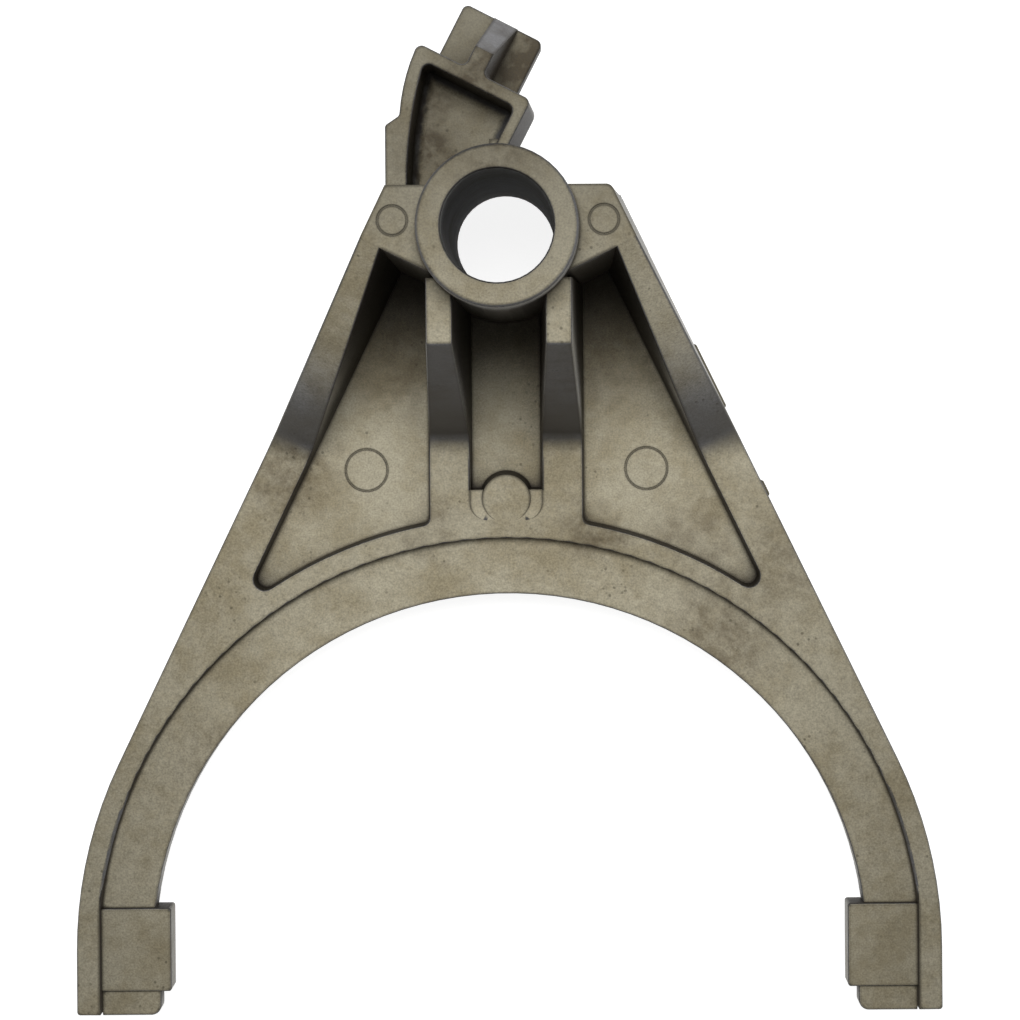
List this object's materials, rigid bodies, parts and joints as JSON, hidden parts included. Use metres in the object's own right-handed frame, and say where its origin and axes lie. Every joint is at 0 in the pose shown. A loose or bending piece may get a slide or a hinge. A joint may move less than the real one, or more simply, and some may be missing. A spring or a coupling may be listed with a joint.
{
  "type": "transfer case shift fork",
  "caption": "Cast shift fork: a bored hub slides on a rail, a ribbed horseshoe plate with pads at its tips straddles a sliding sleeve, and an offset arm ends in a flat lug.",
  "frame": {"origin": "on the axis of the rail bore, at the back face of the hub", "axes": "+Z along the bore towards the hub's nose, -Y along the fork towards its tips, +Y towards the arm and its lug"},
  "size_m": [0.156, 0.1783, 0.067],
  "materials": {
    "casting": "as cast, dull, with an olive grey tint and darker hollows"
  },
  "bodies": {
    "root": {"shift_fork": "casting"}
  },
  "joints": []
}
